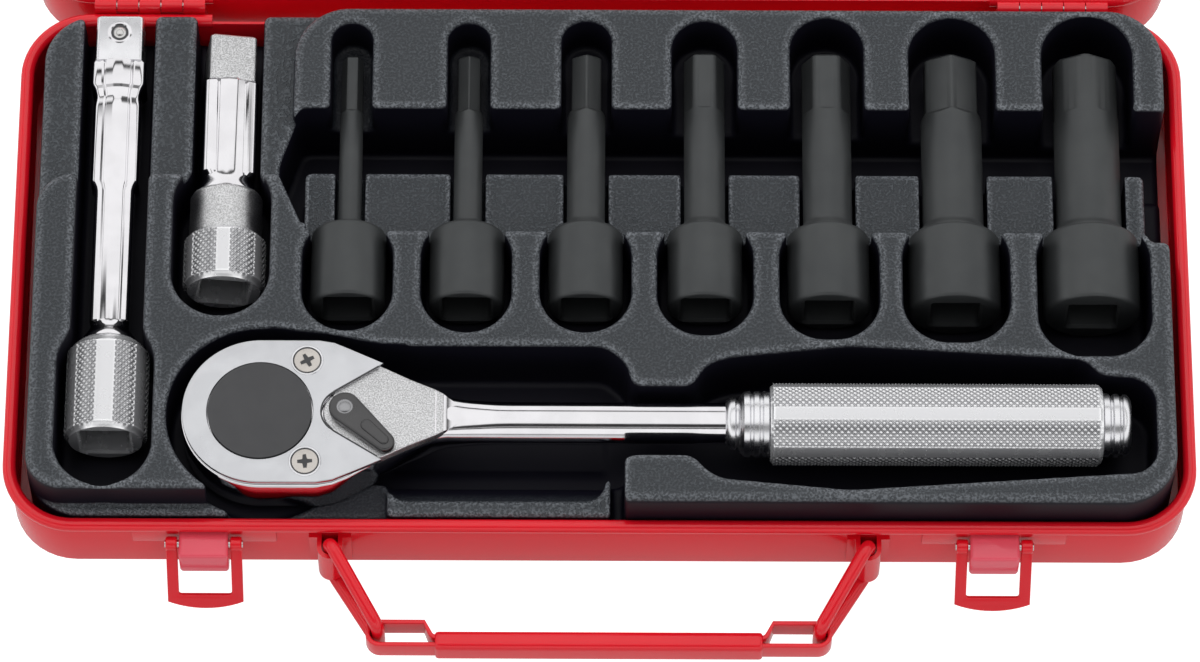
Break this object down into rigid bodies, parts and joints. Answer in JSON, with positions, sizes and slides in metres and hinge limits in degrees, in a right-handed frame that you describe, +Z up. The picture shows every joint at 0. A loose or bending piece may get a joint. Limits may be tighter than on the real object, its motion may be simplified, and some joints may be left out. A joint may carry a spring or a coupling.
{
  "type": "socket wrench set in case",
  "caption": "Pressed steel case, lid open, with a moulded tray holding a ratchet, extension bars and hex bit sockets; lid, latches, handle and tools move.",
  "frame": {"origin": "centre of the case base's underside, on the surface it stands on", "axes": "+X to the right along the case's length, +Y to the back where the lid is hinged, +Z up"},
  "size_m": [0.315, 0.3441, 0.0406],
  "materials": {
    "red_paint": "gloss",
    "tray_plastic": "leather grain",
    "tool_chrome": "satin",
    "black_oxide": "blackened",
    "pin_steel": "satin"
  },
  "bodies": {
    "case": {"case_body": "red_paint", "hinge_base_leaves": "red_paint", "hinge_pins": "pin_steel", "latch_hook_left": "red_paint", "latch_hook_right": "red_paint", "latch_pins": "pin_steel", "handle_staples": "red_paint", "insert_tray": "tray_plastic"},
    "lid": {"case_lid": "red_paint", "hinge_lid_leaves": "red_paint", "lid_catches": "red_paint"},
    "bail_left": {"latch_bail_left": "red_paint"},
    "bail_right": {"latch_bail_right": "red_paint"},
    "link_left": {"handle_link_left": "red_paint"},
    "link_right": {"handle_link_right": "red_paint"},
    "grip": {"handle_band": "red_paint", "handle_cover": "red_paint"},
    "ratchet": {"ratchet_body": "tool_chrome", "ratchet_cover_plate": "tool_chrome", "ratchet_cover_screws": "tool_chrome", "ratchet_pawl_spring": "pin_steel"},
    "drive": {"ratchet_drive_gear": "black_oxide", "ratchet_ball_spring": "pin_steel"},
    "drive_ball": {"ratchet_drive_ball": "pin_steel"},
    "pawl": {"ratchet_pawl": "black_oxide"},
    "plunger": {"ratchet_pawl_plunger": "pin_steel"},
    "lever": {"ratchet_reverse_lever": "black_oxide", "ratchet_lever_rivet": "black_oxide"},
    "long_bar": {"long_bar": "tool_chrome", "long_bar_spring": "pin_steel"},
    "long_ball": {"long_bar_ball": "pin_steel"},
    "short_bar": {"short_bar": "tool_chrome", "short_bar_spring": "pin_steel"},
    "short_ball": {"short_bar_ball": "pin_steel"},
    "bit_05": {"hex_bit_05": "black_oxide"},
    "bit_06": {"hex_bit_06": "black_oxide"},
    "bit_08": {"hex_bit_08": "black_oxide"},
    "bit_10": {"hex_bit_10": "black_oxide"},
    "bit_12": {"hex_bit_12": "black_oxide"},
    "bit_14": {"hex_bit_14": "black_oxide"},
    "bit_17": {"hex_bit_17": "black_oxide"}
  },
  "joints": [
    {"name": "lid_hinge", "type": "hinge", "parent": "case", "child": "lid", "pos_m": [0, 0.0789, 0.025], "axis": [-1, 0, 0], "range_deg": [-180, 0]},
    {"name": "latch_left", "type": "hinge", "parent": "case", "child": "bail_left", "pos_m": [-0.104, -0.0786, 0.0188], "axis": [-1, 0, 0], "range_deg": [0, 149]},
    {"name": "latch_right", "type": "hinge", "parent": "case", "child": "bail_right", "pos_m": [0.104, -0.0786, 0.0188], "axis": [-1, 0, 0], "range_deg": [0, 149]},
    {"name": "handle_link_left_swing", "type": "hinge", "parent": "case", "child": "link_left", "pos_m": [-0.0709, -0.0793, 0.012], "axis": [0, 0, 1], "range_deg": [0, 35]},
    {"name": "handle_link_right_swing", "type": "hinge", "parent": "case", "child": "link_right", "pos_m": [0.0709, -0.0793, 0.012], "axis": [0, 0, 1], "range_deg": [-35, 0]},
    {"name": "handle_grip_slide", "type": "slide", "parent": "case", "child": "grip", "axis": [0, 1, 0], "range_m": [0, 0.01107]},
    {"name": "ratchet_lift", "type": "slide", "parent": "case", "child": "ratchet", "axis": [0, 0, 1], "range_m": [0, 0.08]},
    {"name": "drive_turn", "type": "hinge", "parent": "ratchet", "child": "drive", "pos_m": [-0.08925, -0.04835, 0.02], "axis": [0, 0, 1], "continuous": true},
    {"name": "drive_ball_press", "type": "slide", "parent": "drive", "child": "drive_ball", "axis": [0, 1, 0], "range_m": [0, 0.0009], "stiffness_N_per_m": 300, "springref_m": -0.0005},
    {"name": "lever_swing", "type": "hinge", "parent": "ratchet", "child": "lever", "pos_m": [-0.06685, -0.04835, 0.037], "axis": [0, 0, 1], "range_deg": [0, 86]},
    {"name": "pawl_rock", "type": "hinge", "parent": "ratchet", "child": "pawl", "pos_m": [-0.06685, -0.04835, 0.029], "axis": [0, 0, 1], "range_deg": [0, 8.2]},
    {"name": "plunger_press", "type": "slide", "parent": "ratchet", "child": "plunger", "axis": [1, 0, 0], "range_m": [0, 0.0006], "stiffness_N_per_m": 200, "springref_m": -0.0005},
    {"name": "long_bar_lift", "type": "slide", "parent": "case", "child": "long_bar", "axis": [0, 0, 1], "range_m": [0, 0.08]},
    {"name": "long_ball_press", "type": "slide", "parent": "long_bar", "child": "long_ball", "axis": [0, 0, -1], "range_m": [0, 0.0009], "stiffness_N_per_m": 300, "springref_m": -0.0005},
    {"name": "short_bar_lift", "type": "slide", "parent": "case", "child": "short_bar", "axis": [0, 0, 1], "range_m": [0, 0.08]},
    {"name": "short_ball_press", "type": "slide", "parent": "short_bar", "child": "short_ball", "axis": [0.1736, 0, 0.9848], "range_m": [0, 0.0009], "stiffness_N_per_m": 300, "springref_m": -0.0005},
    {"name": "bit_05_lift", "type": "slide", "parent": "case", "child": "bit_05", "axis": [0, 0, 1], "range_m": [0, 0.08]},
    {"name": "bit_06_lift", "type": "slide", "parent": "case", "child": "bit_06", "axis": [0, 0, 1], "range_m": [0, 0.08]},
    {"name": "bit_08_lift", "type": "slide", "parent": "case", "child": "bit_08", "axis": [0, 0, 1], "range_m": [0, 0.08]},
    {"name": "bit_10_lift", "type": "slide", "parent": "case", "child": "bit_10", "axis": [0, 0, 1], "range_m": [0, 0.08]},
    {"name": "bit_12_lift", "type": "slide", "parent": "case", "child": "bit_12", "axis": [0, 0, 1], "range_m": [0, 0.08]},
    {"name": "bit_14_lift", "type": "slide", "parent": "case", "child": "bit_14", "axis": [0, 0, 1], "range_m": [0, 0.08]},
    {"name": "bit_17_lift", "type": "slide", "parent": "case", "child": "bit_17", "axis": [0, 0, 1], "range_m": [0, 0.08]}
  ],
  "couplings": [
    {"joint": "handle_link_left_swing", "follows": "handle_grip_slide", "rad_per_m": 55.18},
    {"joint": "handle_link_right_swing", "follows": "handle_grip_slide", "rad_per_m": -55.18},
    {"joint": "pawl_rock", "follows": "lever_swing", "ratio": 0.0953}
  ]
}
